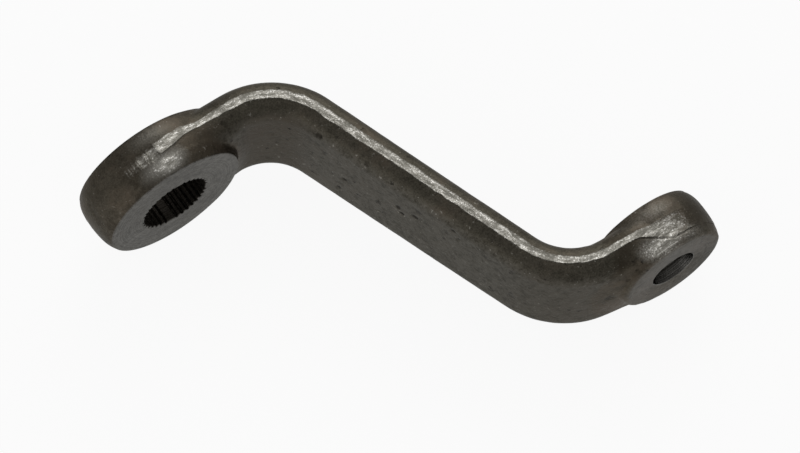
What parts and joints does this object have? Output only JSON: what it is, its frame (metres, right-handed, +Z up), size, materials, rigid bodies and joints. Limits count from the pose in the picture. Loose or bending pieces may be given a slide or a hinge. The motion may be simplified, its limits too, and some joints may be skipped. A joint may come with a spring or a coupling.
{
  "type": "pitman arm",
  "caption": "Forged steel steering arm with a deep double bend, a splined eye for the steering shaft at one end and a tapered eye for a ball stud at the other.",
  "frame": {"origin": "on the splined bore's axis, in the forging's parting plane", "axes": "+Z up with the arm standing on its edge as in the picture, both bores along Y, stud eye toward +X and dropped toward -Y, the side away from the steering box"},
  "size_m": [0.2105, 0.1582, 0.0674],
  "materials": {
    "forged_steel": "oiled forging scale with bright trimmed flash and faced eyes"
  },
  "bodies": {
    "root": {"pitman_arm": "forged_steel"}
  },
  "joints": []
}
